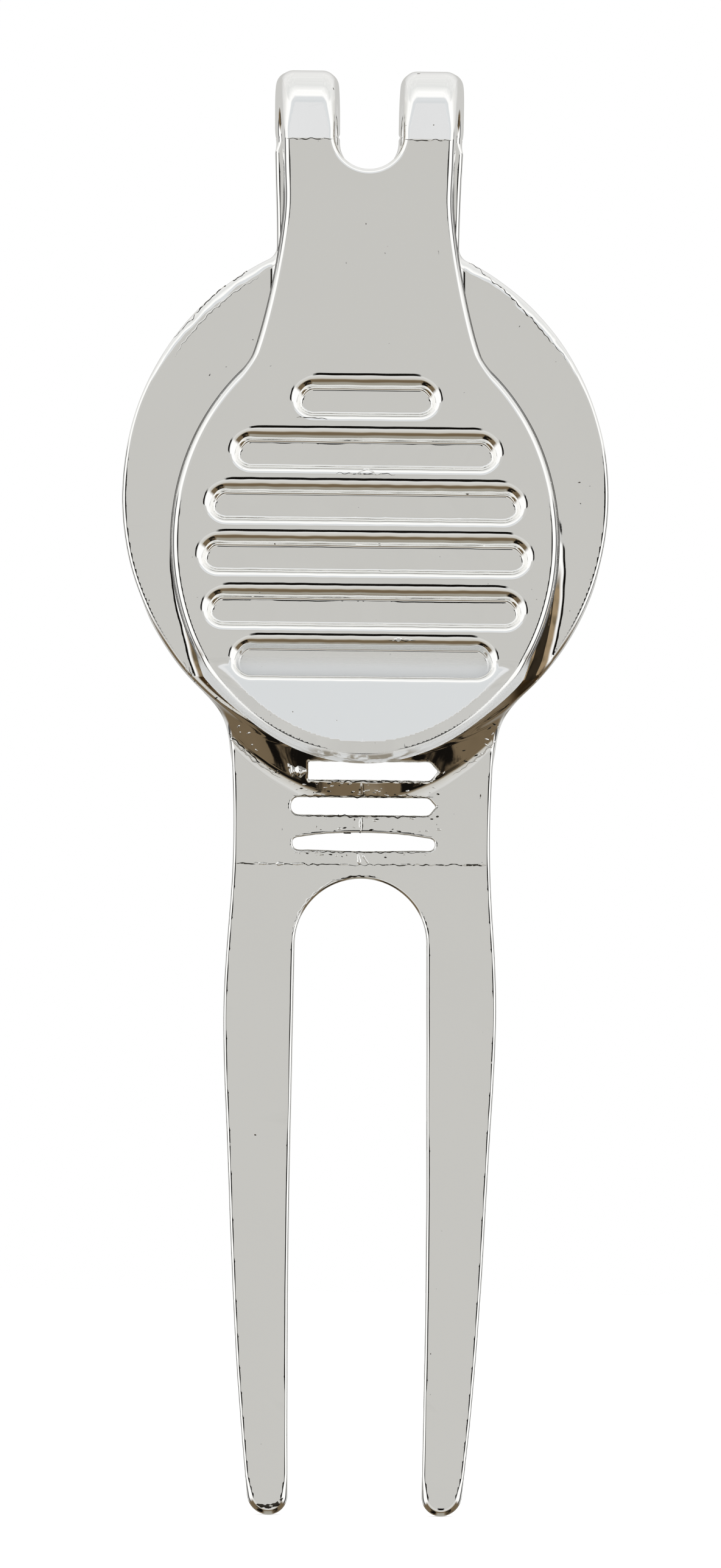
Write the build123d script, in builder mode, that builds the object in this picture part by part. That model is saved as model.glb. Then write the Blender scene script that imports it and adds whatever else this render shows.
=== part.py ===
"""Divot repair tool: a die-cast two-tine fork with a round marker plate, a belt clip that folds
over the top on two ears, and a lift-out magnetic ball marker.

Frame: X across the tool, Z up, tines pointing down. -Y is the clip side, +Y the marker side.
The origin is the crook of the clip's bend, where the edge of a belt bears. Millimetres.
"""

import os

from build123d import *

os.makedirs("parts", exist_ok=True)

# ---------------------------------------------------------------- levels across the thickness (Y)
face_y = 5.5  # flat front of the plate, neck and tines
neck_back_y = 2.7  # back of the neck and tines
plate_back_y = 1.5  # back of the marker plate, one wall of the belt gap
boss_y = 0.4  # top of the raised oval that the clip closes on
strap_face_y = 3.8  # front of the strap between the plate and the bend
arm_inner_y = -1.5  # inside of the clip's arm, the other wall of the belt gap
arm_outer_y = -3.7  # outside of the clip's arm

# ---------------------------------------------------------------- heights (Z)
plate_z = -22.2  # centre of the marker plate
bend_top_z = 2.2  # top of the ears
crook_radius = (plate_back_y - arm_inner_y) / 2
root_z = -crook_radius - 0.1  # where the clip's two ears meet the strap
root_gap = 0.02
tip_z = plate_z - 58.7

# ---------------------------------------------------------------- plate and strap
plate_half_width = 14.0
plate_half_height = 14.9
plate_edge_radius = 0.45
strap_half_width = 5.25
strap_top_half_width = 5.45
strap_waist_z = plate_z + 17.0
strap_foot_z = plate_z + 11.0  # inside the plate

# ---------------------------------------------------------------- neck and tines
shoulder_half_width = 9.0
waist_half_width = 7.42
hip_half_width = 7.84
arch_radius = 3.8
arch_z = plate_z - 25.8
tine_tip_x = 5.0
tine_tip_radius = 1.15
tine_tip_thickness = 1.7
tine_thinning = 20.0  # length over which the front of each tine falls away to its tip
tine_front_radius = 0.35
tine_back_radius = 0.2
slot_length = 8.4
slot_height = 1.0
slot_growth = 0.2  # how much each slot widens towards the front
slot_heights = (plate_z - 15.8, plate_z - 17.87, plate_z - 19.93)

# ---------------------------------------------------------------- raised oval behind the clip's pad
boss_top = (10.9, 10.6)  # half width and half height
boss_top_z = plate_z - 3.0
boss_foot = (11.4, 13.7)
boss_foot_z = plate_z - 3.8

# ---------------------------------------------------------------- marker seat, magnet and marker
marker_radius = 12.7
marker_thickness = 1.5
marker_rim = 1.1
seat_radius = marker_radius + 0.15
seat_depth = 1.8
seat_floor_y = face_y - seat_depth
marker_back_y = seat_floor_y + 0.02
marker_face_y = marker_back_y + marker_thickness
field_y = marker_face_y - 0.34  # level of the marker's raised lines, inside its rim
enamel_depth = 0.25
line_width = 0.35
dome_rise = 0.4
flag_corners = ((-1.6, 7.6), (6.2, 5.2), (-1.6, 2.8))  # seen from the marker's side
green_top = -3.4
thumb_notch_radius = 2.0
thumb_notch_depth = 1.3
magnet_radius = 5.0
magnet_thickness = 1.5
glue_thickness = 0.1
pocket_radius = magnet_radius + 0.05
pocket_floor_y = seat_floor_y - 0.02 - magnet_thickness - glue_thickness

# ---------------------------------------------------------------- clip
arm_outer = [(5.08, -1.5), (4.7, -3.7), (4.92, -7.17), (5.91, -12.41), (6.95, -15.5)]
arm_growth = 0.37  # how much wider the arm's outline is at the strap's level than on its face
pad_z = plate_z - 2.65
pad_half_width = 11.08
pad_half_height = 12.28
pad_growth = (0.12, 0.62)  # sideways, and at the tip
notch_z = -1.6
notch_back_radius = 1.675
notch_front_radius = 1.95
crease_z = -1.82  # the ears lean back above this line
facet_top = (-3.0, 1.0)
bend_radius = 1.2
bend_back_radius = 2.0
ear_edge_radius = 0.3
flare_z = plate_z - 9.35  # where the pad's tip bends away from the plate
flare_radius = 3.0
flare_angle = 17.0
flare_length = 6.5  # past the pad's rim
groove_height = 2.47
groove_depth = 0.7
groove_lip_radius = 0.15
groove_floor_radius = 0.2
pad_rim_radius = 0.2
groove_slope = 0.35  # how far each groove's wall leans in from lip to floor
# each thumb groove's height above the plate's centre, and its length
grooves = [(5.5, 8.7), (2.5, 15.75), (-0.45, 18.55), (-3.35, 19.35), (-6.4, 18.6), (-9.4, 15.45)]


def level(y):
    """Plane parallel to the tool's face at that Y: its x is X, its y is Z, its normal is -Y."""
    return Plane.XZ.offset(-y)


def middle(edge):
    """The point half way along an edge."""
    return edge @ 0.5


def rim_share(edge):
    """How far out from the pad's centre the edge's middle lies: 1 on the pad's rim."""
    x, z = middle(edge).X, middle(edge).Z
    return (x / pad_half_width) ** 2 + ((z - pad_z) / pad_half_height) ** 2


def slot_pair(length, height, z, growth, near_y, far_y):
    """A through slot's tool: one stadium at each level, the far one larger by the growth."""
    with BuildPart() as tool:
        with BuildSketch(level(near_y)):
            with Locations((0, z)):
                SlotOverall(length, height)
        with BuildSketch(level(far_y)):
            with Locations((0, z)):
                SlotOverall(length + growth, height + growth)
        loft()
    return tool.part


# ================================================================ clip notch, cut from both castings
with BuildPart() as notch:
    with BuildSketch(level(arm_outer_y - 1)):
        with BuildLine():
            FilletPolyline(
                (-notch_front_radius - 0.2, 6),
                (-notch_front_radius, notch_z - notch_front_radius),
                (notch_front_radius, notch_z - notch_front_radius),
                (notch_front_radius + 0.2, 6),
                radius=notch_front_radius - 0.01,
            )
            Line((-notch_front_radius - 0.2, 6), (notch_front_radius + 0.2, 6))
        make_face()
    with BuildSketch(level(strap_face_y + 1)):
        with BuildLine():
            FilletPolyline(
                (-notch_back_radius - 0.2, 6),
                (-notch_back_radius, notch_z - notch_back_radius - 0.1),
                (notch_back_radius, notch_z - notch_back_radius - 0.1),
                (notch_back_radius + 0.2, 6),
                radius=notch_back_radius - 0.01,
            )
            Line((-notch_back_radius - 0.2, 6), (notch_back_radius + 0.2, 6))
        make_face()
    loft()

# ================================================================ neck and tines
with BuildPart() as neck:
    with BuildSketch(level(face_y)):
        with BuildLine():
            top = Line((0, plate_z - 8), (shoulder_half_width, plate_z - 8))
            side = Line(top @ 1, (shoulder_half_width, plate_z - 11.4))
            flank = Spline(
                side @ 1,
                (7.72, plate_z - 13.7),
                (waist_half_width, plate_z - 17),
                (waist_half_width, plate_z - 20.5),
                tangents=[(-0.9, -1), (0, -1)],
            )
            outer = Spline(
                flank @ 1,
                (hip_half_width, plate_z - 28.4),
                (7.6, plate_z - 36.5),
                (7.2, plate_z - 44.7),
                (tine_tip_x + tine_tip_radius, tip_z + tine_tip_radius),
                tangents=[(0, -1), (-0.13, -1)],
            )
            tip = ThreePointArc(
                outer @ 1,
                (tine_tip_x, tip_z),
                (tine_tip_x - tine_tip_radius, tip_z + tine_tip_radius),
            )
            inner = Spline(
                tip @ 1,
                (3.95, plate_z - 45),
                (arch_radius, arch_z),
                tangents=[(0, 1), (0, 1)],
            )
            arch = ThreePointArc(
                inner @ 1,
                (arch_radius * 0.7071, arch_z + arch_radius * 0.7071),
                (0, arch_z + arch_radius),
            )
            mirror(about=Plane.YZ)
        make_face()
    extrude(amount=face_y - neck_back_y)
    with BuildSketch(Plane.YZ):
        with BuildLine():
            Polyline(
                (face_y + 1, tip_z + tine_thinning),
                (face_y, tip_z + tine_thinning),
                (neck_back_y + tine_tip_thickness, tip_z),
                (neck_back_y + tine_tip_thickness, tip_z - 1),
                (face_y + 1, tip_z - 1),
                close=True,
            )
        make_face()
    extrude(amount=20, both=True, mode=Mode.SUBTRACT)
    rims = neck.edges().filter_by(lambda e: abs((e % 0.5).Y) < 0.7 and (e @ 0.5).Z < plate_z - 9)
    front_rims = rims.filter_by(lambda e: (e @ 0.5).Y > neck_back_y + 1)
    fillet(front_rims - front_rims.filter_by(Axis.X), tine_front_radius)
    back_rims = neck.edges().filter_by(
        lambda e: abs((e @ 0.5).Y - neck_back_y) < 0.01 and (e @ 0.5).Z < plate_z - 9
    )
    fillet(back_rims, tine_back_radius)

# ================================================================ plate and strap
with BuildPart() as plate:
    with BuildSketch(level(face_y)):
        with Locations((0, plate_z)):
            Ellipse(plate_half_width, plate_half_height)
    extrude(amount=face_y - plate_back_y)
    fillet(plate.edges(), plate_edge_radius)

with BuildPart() as strap:
    with BuildSketch(level(strap_face_y)):
        with BuildLine():
            Polyline(
                (0, root_z),
                (strap_top_half_width, root_z),
                (strap_half_width, strap_waist_z),
                (strap_half_width, strap_foot_z),
                (0, strap_foot_z),
            )
            mirror(about=Plane.YZ)
        make_face()
    extrude(amount=strap_face_y - plate_back_y)

# ================================================================ raised oval
with BuildPart() as boss:
    with BuildSketch(level(neck_back_y)):
        with Locations((0, boss_foot_z)):
            Ellipse(*boss_foot)
    with BuildSketch(level(boss_y)):
        with Locations((0, boss_top_z)):
            Ellipse(*boss_top)
    loft()
    with BuildSketch(level(neck_back_y + 1)) as outline:
        with Locations((0, plate_z)):
            Ellipse(plate_half_width - 0.1, plate_half_height - 0.1)
        with Locations((0, plate_z - 16)):
            Rectangle(2 * waist_half_width - 0.2, 14)
    extrude(amount=5, mode=Mode.INTERSECT)

# ================================================================ fork body
with BuildPart() as fork_body:
    add(neck.part)
    add(plate.part)
    add(strap.part)
    add(boss.part)
    with BuildSketch(level(face_y + 0.5)):
        with Locations((0, plate_z)):
            Circle(seat_radius)
    extrude(amount=seat_depth + 0.5, mode=Mode.SUBTRACT)
    with BuildSketch(level(face_y)):
        with Locations((0, plate_z)):
            Circle(pocket_radius)
    extrude(amount=face_y - pocket_floor_y, mode=Mode.SUBTRACT)
    with BuildSketch(level(face_y + 0.5)):
        with Locations((0, plate_z - seat_radius)):
            Circle(thumb_notch_radius)
    extrude(amount=thumb_notch_depth + 0.5, mode=Mode.SUBTRACT)
    for z in slot_heights:
        add(
            slot_pair(slot_length, slot_height, z, slot_growth, boss_y - 0.5, face_y + 0.5),
            mode=Mode.SUBTRACT,
        )
    add(notch.part, mode=Mode.SUBTRACT)
fork_body.part.label = "fork_body"
export_step(fork_body.part, "parts/fork_body.step")

# ================================================================ belt clip
with BuildPart() as arm:
    with BuildSketch(level(arm_outer_y - 0.5)):
        with BuildLine():
            top = Line((0, bend_top_z + 1), (arm_outer[0][0] + 0.1, bend_top_z + 1))
            ear = Line(top @ 1, arm_outer[0])
            edge = Spline(*arm_outer, tangents=[(-0.05, -1), (0.6, -1)])
            foot = Line(edge @ 1, (0, arm_outer[-1][1]))
            mirror(about=Plane.YZ)
        make_face()
    with BuildSketch(level(strap_face_y)):
        with BuildLine():
            top = Line((0, bend_top_z + 1), (arm_outer[0][0] + 0.1 + arm_growth, bend_top_z + 1))
            ear = Line(top @ 1, (arm_outer[0][0] + arm_growth, arm_outer[0][1]))
            edge = Spline(
                *[(x + arm_growth, z) for x, z in arm_outer],
                tangents=[(-0.05, -1), (0.6, -1)],
            )
            foot = Line(edge @ 1, (0, arm_outer[-1][1]))
            mirror(about=Plane.YZ)
        make_face()
    loft()

with BuildPart() as pad:
    with BuildSketch(level(arm_outer_y - 1.6)):
        with Locations((0, pad_z)):
            Ellipse(pad_half_width, pad_half_height)
    with BuildSketch(level(arm_inner_y - 1.1)):
        with Locations((0, pad_z - pad_growth[1] / 2)):
            Ellipse(pad_half_width + pad_growth[0], pad_half_height + pad_growth[1] / 2)
    loft()
    extrude(pad.faces().sort_by(Axis.Y)[-1], amount=2)

with BuildPart() as belt_clip:
    add(arm.part)
    add(pad.part)
    with BuildSketch(Plane.YZ) as profile:
        with BuildLine():
            thickness = arm_inner_y - arm_outer_y
            root = Line((plate_back_y, root_z + root_gap), (strap_face_y, root_z + root_gap))
            rise = Line(root @ 1, (strap_face_y, bend_top_z - bend_back_radius))
            back = RadiusArc(
                rise @ 1,
                (strap_face_y - bend_back_radius, bend_top_z),
                -bend_back_radius,
            )
            crown = Line(back @ 1, (facet_top[0] + bend_radius, bend_top_z))
            front = ThreePointArc(
                crown @ 1,
                (facet_top[0] + 0.35, bend_top_z - 0.35),
                facet_top,
            )
            facet = Line(front @ 1, (arm_outer_y, crease_z))
            face = Line(facet @ 1, (arm_outer_y, flare_z))
            flare = CenterArc(
                (arm_outer_y - flare_radius, flare_z),
                flare_radius,
                0,
                -flare_angle,
            )
            inner_flare = CenterArc(
                (arm_outer_y - flare_radius, flare_z),
                flare_radius + thickness,
                0,
                -flare_angle,
            )
            face_tip = Line(flare @ 1, flare @ 1 + (flare % 1) * flare_length)
            inner_tip = Line(inner_flare @ 1, inner_flare @ 1 + (inner_flare % 1) * flare_length)
            end = Line(face_tip @ 1, inner_tip @ 1)
            inside = Line((arm_inner_y, flare_z), (arm_inner_y, -crook_radius))
            crook = ThreePointArc(inside @ 1, (0, 0), (plate_back_y, -crook_radius))
            close = Line(crook @ 1, root @ 0)
        make_face()
    extrude(amount=20, both=True, mode=Mode.INTERSECT)
    add(notch.part, mode=Mode.SUBTRACT)
    for z, length in grooves:
        with BuildSketch(level(arm_outer_y - 0.7)):
            with Locations((0, plate_z + z)):
                SlotOverall(length + 2 * groove_slope, groove_height + 2 * groove_slope)
        with BuildSketch(level(arm_outer_y + groove_depth)):
            with Locations((0, plate_z + z)):
                SlotOverall(length - 2 * groove_slope, groove_height - 2 * groove_slope)
        loft(mode=Mode.SUBTRACT)
    low = belt_clip.edges().filter_by(lambda e: middle(e).Z < pad_z + pad_half_height)
    floors = low.filter_by(lambda e: abs(middle(e).Y - arm_outer_y - groove_depth) < 0.02)
    fillet(floors, groove_floor_radius)
    low = belt_clip.edges().filter_by(lambda e: -33 < middle(e).Z < pad_z + pad_half_height - 2.8)
    lips = low.filter_by(
        lambda e: abs(middle(e).Y - arm_outer_y) < 0.06
        and rim_share(e) < 0.9
        and abs(middle(e).Z - flare_z) > 0.01
    )
    fillet(lips, groove_lip_radius)
    low = belt_clip.edges().filter_by(lambda e: middle(e).Z < pad_z + pad_half_height - 3)
    pad_rim = low.filter_by(lambda e: middle(e).Y < arm_outer_y + 0.1 and rim_share(e) > 0.95)
    fillet(pad_rim, pad_rim_radius)
    ears = belt_clip.edges().filter_by(
        lambda e: abs(middle(e).X) > 4.9
        and abs((e @ 0).X) > 4
        and abs((e @ 1).X) > 4
        and -2 < middle(e).Z
        and (middle(e).Y < -1.6 or middle(e).Z > 1 or middle(e).Y > strap_face_y - 0.1)
        and not (abs((e @ 0).Z + crook_radius) < 0.02 and abs((e @ 1).Z + crook_radius) < 0.02)
    )
    fillet(ears, ear_edge_radius)
belt_clip.part.label = "belt_clip"
export_step(belt_clip.part, "parts/belt_clip.step")

# ================================================================ magnet and its glue
with BuildPart() as magnet_adhesive:
    with BuildSketch(level(pocket_floor_y + glue_thickness)):
        with Locations((0, plate_z)):
            Circle(magnet_radius)
    extrude(amount=glue_thickness)
magnet_adhesive.part.label = "magnet_adhesive"
export_step(magnet_adhesive.part, "parts/magnet_adhesive.step")

with BuildPart() as magnet:
    with BuildSketch(level(pocket_floor_y + glue_thickness + magnet_thickness)):
        with Locations((0, plate_z)):
            Circle(magnet_radius)
    extrude(amount=magnet_thickness)
    chamfer(magnet.edges(), 0.15)
magnet.part.label = "magnet"
export_step(magnet.part, "parts/magnet.step")

# ================================================================ ball marker: a pin flag in enamel
with BuildSketch() as pennant:
    Polygon(*flag_corners, align=None)
with BuildSketch() as pennant_border:
    offset(pennant.face(), line_width)
with BuildSketch() as sky:
    Circle(marker_radius - marker_rim - line_width)
    with Locations((flag_corners[0][0] - line_width, 0)):
        Rectangle(2 * line_width, 40, mode=Mode.SUBTRACT)
    add(pennant_border.sketch, mode=Mode.SUBTRACT)
    with Locations((0, green_top - 20)):
        Rectangle(60, 40, mode=Mode.SUBTRACT)
with BuildSketch() as green:
    Circle(marker_radius - marker_rim - line_width)
    with Locations((0, green_top - line_width + 20)):
        Rectangle(60, 40, mode=Mode.SUBTRACT)
    with Locations((flag_corners[0][0] - line_width, green_top - 3)):
        Ellipse(1.6, 0.7, mode=Mode.SUBTRACT)

field = Plane(origin=(0, field_y, plate_z), x_dir=(-1, 0, 0), z_dir=(0, 1, 0))

with BuildPart() as enamel_sky:
    with BuildSketch(field):
        add(sky.sketch)
    extrude(amount=-enamel_depth)
enamel_sky.part.label = "enamel_sky"
export_step(enamel_sky.part, "parts/enamel_sky.step")

with BuildPart() as enamel_green:
    with BuildSketch(field):
        add(green.sketch)
    extrude(amount=-enamel_depth)
enamel_green.part.label = "enamel_green"
export_step(enamel_green.part, "parts/enamel_green.step")

with BuildPart() as enamel_flag:
    with BuildSketch(field):
        add(pennant.sketch)
    extrude(amount=-enamel_depth)
enamel_flag.part.label = "enamel_flag"
export_step(enamel_flag.part, "parts/enamel_flag.step")

with BuildPart() as marker_coin:
    with BuildSketch(level(marker_face_y)):
        with Locations((0, plate_z)):
            Circle(marker_radius)
    extrude(amount=marker_thickness)
    chamfer(marker_coin.edges(), 0.15)
    with BuildSketch(level(marker_face_y)):
        with Locations((0, plate_z)):
            Circle(marker_radius - marker_rim)
    extrude(amount=marker_face_y - field_y, mode=Mode.SUBTRACT)
    add(enamel_sky.part, mode=Mode.SUBTRACT)
    add(enamel_green.part, mode=Mode.SUBTRACT)
    add(enamel_flag.part, mode=Mode.SUBTRACT)
marker_coin.part.label = "marker_coin"
export_step(marker_coin.part, "parts/marker_coin.step")

with BuildPart() as marker_dome:
    with BuildSketch(level(field_y + dome_rise)):
        with Locations((0, plate_z)):
            Circle(marker_radius - marker_rim - 0.02)
    extrude(amount=dome_rise)
    fillet(marker_dome.faces().sort_by(Axis.Y)[-1].edges(), dome_rise * 0.8)
marker_dome.part.label = "marker_dome"
export_step(marker_dome.part, "parts/marker_dome.step")
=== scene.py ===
"""Looks of the divot repair tool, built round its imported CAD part.

Every piece is modelled as a distance field in millimetres, in the part's own frame, and meshed
here. The fields of the fork and the clip hold the fillets, draft, flash and uneven edges that a
mould leaves. A field is negative inside the metal and positive outside it.
"""

import math
import random

import bmesh
import bpy
import numpy as np
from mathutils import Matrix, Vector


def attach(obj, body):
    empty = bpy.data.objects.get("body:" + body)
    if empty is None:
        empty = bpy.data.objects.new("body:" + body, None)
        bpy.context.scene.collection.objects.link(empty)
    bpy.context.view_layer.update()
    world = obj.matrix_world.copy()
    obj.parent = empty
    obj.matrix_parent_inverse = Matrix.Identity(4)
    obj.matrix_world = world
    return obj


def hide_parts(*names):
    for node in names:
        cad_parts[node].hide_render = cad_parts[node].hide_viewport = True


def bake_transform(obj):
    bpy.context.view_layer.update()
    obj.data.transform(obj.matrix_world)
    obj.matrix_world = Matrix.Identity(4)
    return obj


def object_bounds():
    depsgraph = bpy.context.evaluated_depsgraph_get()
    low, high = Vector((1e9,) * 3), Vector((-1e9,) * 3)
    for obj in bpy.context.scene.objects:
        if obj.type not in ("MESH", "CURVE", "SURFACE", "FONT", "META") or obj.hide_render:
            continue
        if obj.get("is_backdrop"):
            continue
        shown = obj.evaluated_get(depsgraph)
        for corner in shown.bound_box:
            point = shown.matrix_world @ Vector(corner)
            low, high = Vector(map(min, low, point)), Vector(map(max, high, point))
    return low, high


MM = 0.001

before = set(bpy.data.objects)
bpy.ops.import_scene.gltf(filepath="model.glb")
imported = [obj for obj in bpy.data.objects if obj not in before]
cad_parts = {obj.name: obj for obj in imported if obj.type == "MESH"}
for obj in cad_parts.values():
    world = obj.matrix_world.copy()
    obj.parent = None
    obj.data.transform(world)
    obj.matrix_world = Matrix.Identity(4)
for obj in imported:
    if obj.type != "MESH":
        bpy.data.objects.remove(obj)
cad_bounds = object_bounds()

# ---------------------------------------------------------------- sizes, in millimetres
# Y, from the marker's side to the clip's
FACE_Y = 5.5
STRAP_FACE_Y = 3.8
NECK_BACK_Y = 2.7
PLATE_BACK_Y = 1.5
BOSS_Y = 0.4
ARM_INNER_Y = -1.5
ARM_OUTER_Y = -3.7

# the plate, and the oval that stands up on its back behind the clip's pad
PLATE_Z = -22.2
PLATE_HALF = (14.0, 14.9)
BOSS_Z = PLATE_Z - 3.0
BOSS_HALF = (10.5, 10.6)
SHOULDER_Z = PLATE_Z - 4.5
SHOULDER_HALF = (10.8, 13.5)
SHOULDER_X = 0.35
SEAT_R = 12.85
SEAT_Y = FACE_Y - 1.8
POCKET_R = 5.05
POCKET_Y = SEAT_Y - 1.62
SCOOP_R = 2.0
SCOOP_DEPTH = 1.3

# the neck and its two tines
SLOT_ZS = (PLATE_Z - 15.78, PLATE_Z - 17.83, PLATE_Z - 20.0)
PARTING_Z = PLATE_Z - 21.18
ARCH_Z = PLATE_Z - 25.8
ARCH_R = 3.8
THINNING_Z = PLATE_Z - 38.7
TIP_Z = PLATE_Z - 58.7
TIP_R = 1.12

# the clip: its root on the strap, its bend, and the pad with its tip turned away from the plate
ROOT_Z = -1.6
BEND_R = 1.5
BEND_TOP_Z = 2.2
CORNER_R = 1.9
NOTCH_R = 2.0
CREASE_Z = -1.82
EAR_FACET = (0.970, 0.241)
PAD_Z = PLATE_Z - 2.65
PAD_HALF = (11.02, 12.65)
FLARE_Z = PLATE_Z - 9.25
FLARE_R = 2.2
FLARE_ANGLE = math.radians(17)
GROOVE_R = 0.98
GROOVE_DEPTH = 0.62

EDGE_R = 0.34


# ---------------------------------------------------------------- distance field helpers
def curve(points):
    """Natural cubic spline through (height, value) pairs, level beyond its ends."""
    points = sorted(points)
    x = np.array([p[0] for p in points], float)
    v = np.array([p[1] for p in points], float)
    n = len(x)
    h = np.diff(x)
    system = np.eye(n)
    right = np.zeros(n)
    for i in range(1, n - 1):
        system[i, i - 1 : i + 2] = h[i - 1], 2 * (h[i - 1] + h[i]), h[i]
        right[i] = 6 * ((v[i + 1] - v[i]) / h[i] - (v[i] - v[i - 1]) / h[i - 1])
    bend = np.linalg.solve(system, right)

    def value(z):
        q = np.clip(z, x[0], x[-1])
        i = np.clip(np.searchsorted(x, q) - 1, 0, n - 2)
        a = x[i + 1] - q
        b = q - x[i]
        hi = h[i]
        return (
            (bend[i] * a**3 + bend[i + 1] * b**3) / (6 * hi)
            + (v[i] / hi - bend[i] * hi / 6) * a
            + (v[i + 1] / hi - bend[i + 1] * hi / 6) * b
        )

    return value


def ramp(x, low, high):
    """0 below low, 1 above high, smooth between."""
    t = np.clip((x - low) / (high - low), 0, 1)
    return t * t * (3 - 2 * t)


def meet(a, b, r):
    """What is inside both, with the edge between them rounded to radius r."""
    u = np.maximum(a + r, 0)
    v = np.maximum(b + r, 0)
    return np.sqrt(u * u + v * v) + np.minimum(np.maximum(a + r, b + r), 0) - r


def join(a, b, r):
    """What is inside either, with a fillet of radius r between them."""
    return -meet(-a, -b, r)


def cut(a, b, r):
    """What is inside a and outside b, with the lip rounded to radius r."""
    return meet(a, -b, r)


def ellipse(x, z, a, b):
    """Close to the distance outside an ellipse of those half axes."""
    near = np.sqrt((x / a) ** 2 + (z / b) ** 2)
    slope = np.sqrt((x / a**2) ** 2 + (z / b**2) ** 2)
    return near * (near - 1) / np.maximum(slope, 1e-9)


def stadium(x, z, half, r):
    """A slot's outline: a line of that half length, thickened by r."""
    return np.hypot(np.maximum(np.abs(x) - half, 0), z) - r


def wobble(x, z, scale, seed):
    """Slow irregular waves from -1 to 1, for edges that a mould and a polish left uneven."""
    rng = random.Random(seed)
    total = 0.0
    for _ in range(5):
        angle = rng.uniform(0, math.pi)
        pitch = scale * rng.uniform(0.6, 1.7)
        along = x * math.cos(angle) + z * math.sin(angle)
        total = total + np.sin(along * (2 * math.pi / pitch) + rng.uniform(0, 6.28))
    return total / 5


# ---------------------------------------------------------------- outlines of the castings
FLANK = curve(
    [
        (PLATE_Z - 11.4, 9.0),
        (PLATE_Z - 12.6, 8.1),
        (PLATE_Z - 13.8, 7.68),
        (PLATE_Z - 15.5, 7.5),
        (PLATE_Z - 18.0, 7.41),
        (PLATE_Z - 20.8, 7.41),
        (PLATE_Z - 24.0, 7.57),
        (PLATE_Z - 28.2, 7.83),
        (PLATE_Z - 36.5, 7.6),
        (PLATE_Z - 44.9, 7.2),
        (PLATE_Z - 53.3, 6.62),
        (PLATE_Z - 58.7, 6.08),
    ]
)
GAP = curve(
    [
        (ARCH_Z, 3.8),
        (PLATE_Z - 34.0, 3.88),
        (PLATE_Z - 43.0, 3.96),
        (PLATE_Z - 53.0, 3.9),
        (PLATE_Z - 58.7, 3.84),
    ]
)
STRAP = curve([(-13.0, 5.27), (-7.2, 5.25), (-4.5, 5.33), (-1.6, 5.44), (0.5, 5.48)])
ARM = curve(
    [
        (-16.0, 7.1),
        (-15.0, 6.76),
        (-14.16, 6.44),
        (-12.4, 5.91),
        (-9.8, 5.33),
        (-7.17, 4.92),
        (-5.4, 4.77),
        (-3.7, 4.82),
        (-1.8, 4.88),
        (0.5, 4.94),
        (3.0, 4.97),
    ]
)


def arm_outline(x, y, z):
    """How far outside the flanks of the folded strap a point is: they spread towards the back."""
    ripple = 0.015 * wobble(x, z, 6.0, 11)
    draft = 0.035 + 0.04 * ramp(z, -3.5, -1.0)
    return np.abs(x) - ARM(z) + ripple - draft * (y - ARM_OUTER_Y)


def notch(x, y, z):
    """The round-bottomed notch between the two ears, wider towards the clip's face."""
    t = np.clip((y - ARM_OUTER_Y) / (STRAP_FACE_Y - ARM_OUTER_Y), -0.2, 1.2)
    r = NOTCH_R - 0.325 * t
    middle = -BEND_R - 0.285 * t
    below = np.hypot(x, np.minimum(z - middle, 0)) - r
    return below - 0.02 * np.maximum(z, 0)


def slot_outline(x, z, left, right, half, blunt):
    """One slot's outline: a round or blunt left end and a right end that the flash left pointed."""
    body = meet(np.abs(z) - half, left - x, blunt)
    point = (x - right + 0.85 * np.abs(z)) * 0.76
    return meet(body, point, 0.1)


def slots(x, z):
    """The three slots through the neck, as cast: no two ends alike."""
    first = slot_outline(x, z - SLOT_ZS[0], -3.13, 4.37, 0.55, 0.12)
    second = slot_outline(x, z - SLOT_ZS[1], -4.08, 4.24, 0.49, 0.45)
    third = stadium(x - 0.12, z - SLOT_ZS[2], 3.75, 0.34)
    third = join(third, ellipse(x - 0.05, z - (SLOT_ZS[2] + 0.12), 4.0, 0.52), 0.1)
    return np.minimum(np.minimum(first, second), third) + 0.012 * wobble(x, z, 0.8, 4)


def raised_oval(x, y, z):
    """The oval on the plate's back: a slope down to the neck, and a shoulder set off centre."""
    t = np.clip((y - BOSS_Y) / (NECK_BACK_Y - BOSS_Y), -0.2, 1.3)
    slab = np.maximum(BOSS_Y - y, y - 4.5)
    foot = BOSS_HALF[1] + (3.1 + 0.5 * np.exp(-((x / 4) ** 2))) * t
    boss = ellipse(x, z - (BOSS_Z - 0.8 * t), BOSS_HALF[0] + 0.6 * t, foot) * 0.75
    boss = meet(boss + 0.03 * wobble(x, z, 3.0, 6), slab, 0.35)
    shoulder = ellipse(x - SHOULDER_X, z - SHOULDER_Z, *SHOULDER_HALF) - 0.78 * (y - PLATE_BACK_Y)
    shoulder = shoulder + 0.6 * np.maximum(PLATE_Z - 10.5 - z, 0) + 0.05 * wobble(x, z, 2.0, 7)
    shoulder = meet(0.79 * shoulder, slab, 0.25)
    return join(boss, shoulder, 0.2)


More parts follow.
